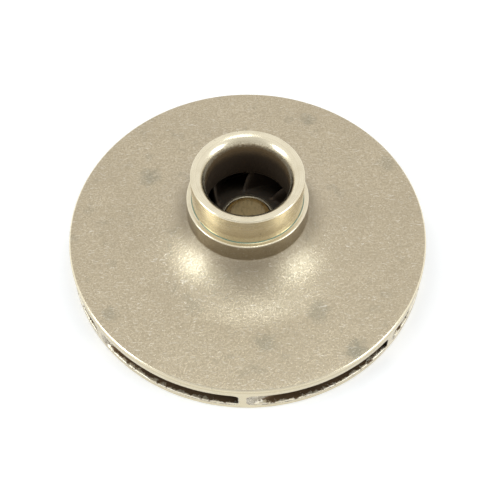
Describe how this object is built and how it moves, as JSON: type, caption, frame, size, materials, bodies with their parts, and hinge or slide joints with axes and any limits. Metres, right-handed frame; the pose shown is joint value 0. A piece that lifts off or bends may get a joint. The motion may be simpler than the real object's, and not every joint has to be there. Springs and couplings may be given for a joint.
{
  "type": "pump impeller",
  "caption": "Closed centrifugal pump impeller: curved vanes between a back plate and a front shroud, with a suction neck and a keyed shaft bore.",
  "frame": {"origin": "on the shaft axis, on the machined back face", "axes": "+Z along the shaft axis, from the back face towards the suction neck; -Y through the keyway"},
  "size_m": [0.1492, 0.1492, 0.0525],
  "materials": {
    "casting": "tumbled cast skin, with the rim, neck, bore and back face turned bright"
  },
  "bodies": {
    "root": {"impeller": "casting"}
  },
  "joints": []
}
